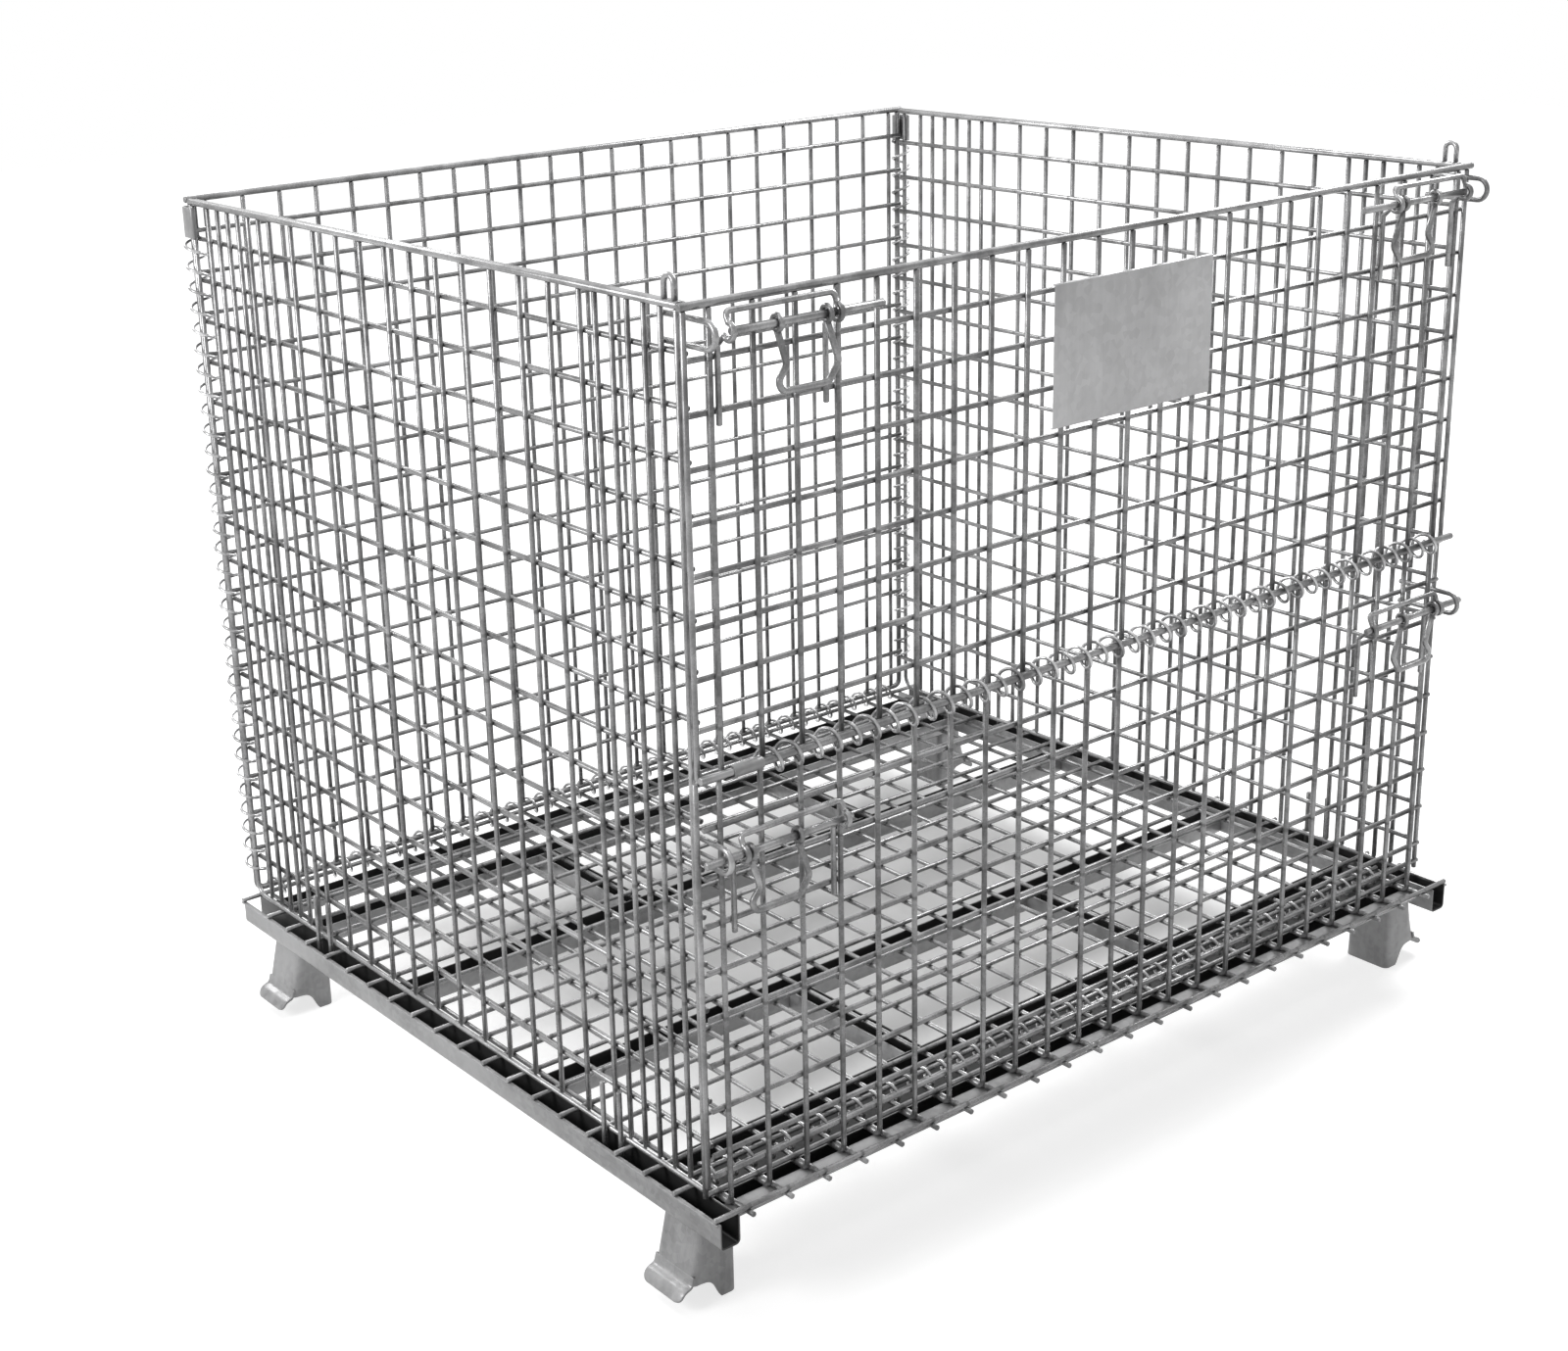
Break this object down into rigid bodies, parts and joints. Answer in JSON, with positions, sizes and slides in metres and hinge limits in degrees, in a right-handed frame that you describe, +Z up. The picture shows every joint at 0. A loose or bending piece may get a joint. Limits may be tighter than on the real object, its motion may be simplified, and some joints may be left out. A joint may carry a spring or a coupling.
{
  "type": "wire mesh container",
  "caption": "Collapsible welded wire mesh container on four pressed feet, with a half-drop front gate, slide latches, coil hinges and stacking loops.",
  "frame": {"origin": "floor level, under the centre of the base", "axes": "+X to the right along the gate side, +Y from the gate to the back, +Z up"},
  "size_m": [1.244, 1.0326, 1.0668],
  "materials": {
    "mesh_wire": "bright zinc plated, satin",
    "rim_rod": "bright zinc plated, satin",
    "latch_wire": "bright zinc plated, satin",
    "bolt_rod": "bright zinc plated, lightly rubbed",
    "coil_spring": "bright zinc plated",
    "base_sheet": "zinc plated pressed sheet",
    "foot_sheet": "zinc plated pressed sheet",
    "clip_sheet": "zinc plated folded sheet",
    "plate_sheet": "smooth bare sheet"
  },
  "bodies": {
    "container": {"back_floor_coil": "coil_spring", "back_rim": "rim_rod", "back_rows": "mesh_wire", "back_uprights": "mesh_wire", "corner_clips": "clip_sheet", "floor_cross_wires": "mesh_wire", "floor_edge_wires": "mesh_wire", "floor_long_wires": "mesh_wire", "front_edge_channel": "base_sheet", "front_floor_coil": "coil_spring", "front_inner_channel": "base_sheet", "front_middle_channel": "base_sheet", "gate_coil": "coil_spring", "hinge_sleeve": "clip_sheet", "left_corner_coil": "coil_spring", "left_front_foot": "foot_sheet", "left_keepers": "latch_wire", "left_rail": "base_sheet", "left_rear_foot": "foot_sheet", "left_side_rim": "rim_rod", "left_side_rows": "mesh_wire", "left_side_uprights": "mesh_wire", "lengthwise_braces": "base_sheet", "lower_gate_foot_wire": "mesh_wire", "lower_gate_frame": "rim_rod", "lower_gate_rows": "mesh_wire", "lower_gate_uprights": "mesh_wire", "lower_left_latch_bracket": "latch_wire", "lower_right_latch_bracket": "latch_wire", "rail_studs": "latch_wire", "rear_edge_channel": "base_sheet", "rear_inner_channel": "base_sheet", "rear_middle_channel": "base_sheet", "right_corner_coil": "coil_spring", "right_front_foot": "foot_sheet", "right_keepers": "latch_wire", "right_rail": "base_sheet", "right_rear_foot": "foot_sheet", "right_side_rim": "rim_rod", "right_side_rows": "mesh_wire", "right_side_uprights": "mesh_wire", "stacking_loops": "latch_wire"},
    "upper_gate": {"upper_gate_uprights": "mesh_wire", "upper_gate_rows": "mesh_wire", "upper_gate_frame": "rim_rod", "label_plate": "plate_sheet", "upper_left_latch_bracket": "latch_wire", "upper_right_latch_bracket": "latch_wire"},
    "upper_left_bolt_body": {"upper_left_bolt": "bolt_rod"},
    "upper_left_handle_body": {"upper_left_handle": "latch_wire"},
    "upper_right_bolt_body": {"upper_right_bolt": "bolt_rod"},
    "upper_right_handle_body": {"upper_right_handle": "latch_wire"},
    "lower_left_bolt_body": {"lower_left_bolt": "bolt_rod"},
    "lower_left_handle_body": {"lower_left_handle": "latch_wire"},
    "lower_right_bolt_body": {"lower_right_bolt": "bolt_rod"},
    "lower_right_handle_body": {"lower_right_handle": "latch_wire"}
  },
  "joints": [
    {"name": "upper_gate_hinge", "type": "hinge", "parent": "container", "child": "upper_gate", "pos_m": [0, -0.482, 0.588], "axis": [1, 0, 0], "range_deg": [0, 155]},
    {"name": "upper_left_bolt_slide", "type": "slide", "parent": "upper_gate", "child": "upper_left_bolt_body", "axis": [-1, 0, 0], "range_m": [0, 0.048]},
    {"name": "upper_left_handle_swing", "type": "hinge", "parent": "upper_left_bolt_body", "child": "upper_left_handle_body", "pos_m": [-0.463, -0.492, 1.01393], "axis": [-1, 0, 0], "range_deg": [0, 150]},
    {"name": "upper_right_bolt_slide", "type": "slide", "parent": "upper_gate", "child": "upper_right_bolt_body", "axis": [1, 0, 0], "range_m": [0, 0.048]},
    {"name": "upper_right_handle_swing", "type": "hinge", "parent": "upper_right_bolt_body", "child": "upper_right_handle_body", "pos_m": [0.463, -0.492, 1.01393], "axis": [-1, 0, 0], "range_deg": [0, 150]},
    {"name": "lower_left_bolt_slide", "type": "slide", "parent": "container", "child": "lower_left_bolt_body", "axis": [1, 0, 0], "range_m": [0, 0.048]},
    {"name": "lower_left_handle_swing", "type": "hinge", "parent": "lower_left_bolt_body", "child": "lower_left_handle_body", "pos_m": [-0.511, -0.494, 0.50593], "axis": [1, 0, 0], "range_deg": [-150, 0]},
    {"name": "lower_right_bolt_slide", "type": "slide", "parent": "container", "child": "lower_right_bolt_body", "axis": [-1, 0, 0], "range_m": [0, 0.048]},
    {"name": "lower_right_handle_swing", "type": "hinge", "parent": "lower_right_bolt_body", "child": "lower_right_handle_body", "pos_m": [0.511, -0.494, 0.50593], "axis": [1, 0, 0], "range_deg": [-150, 0]}
  ]
}
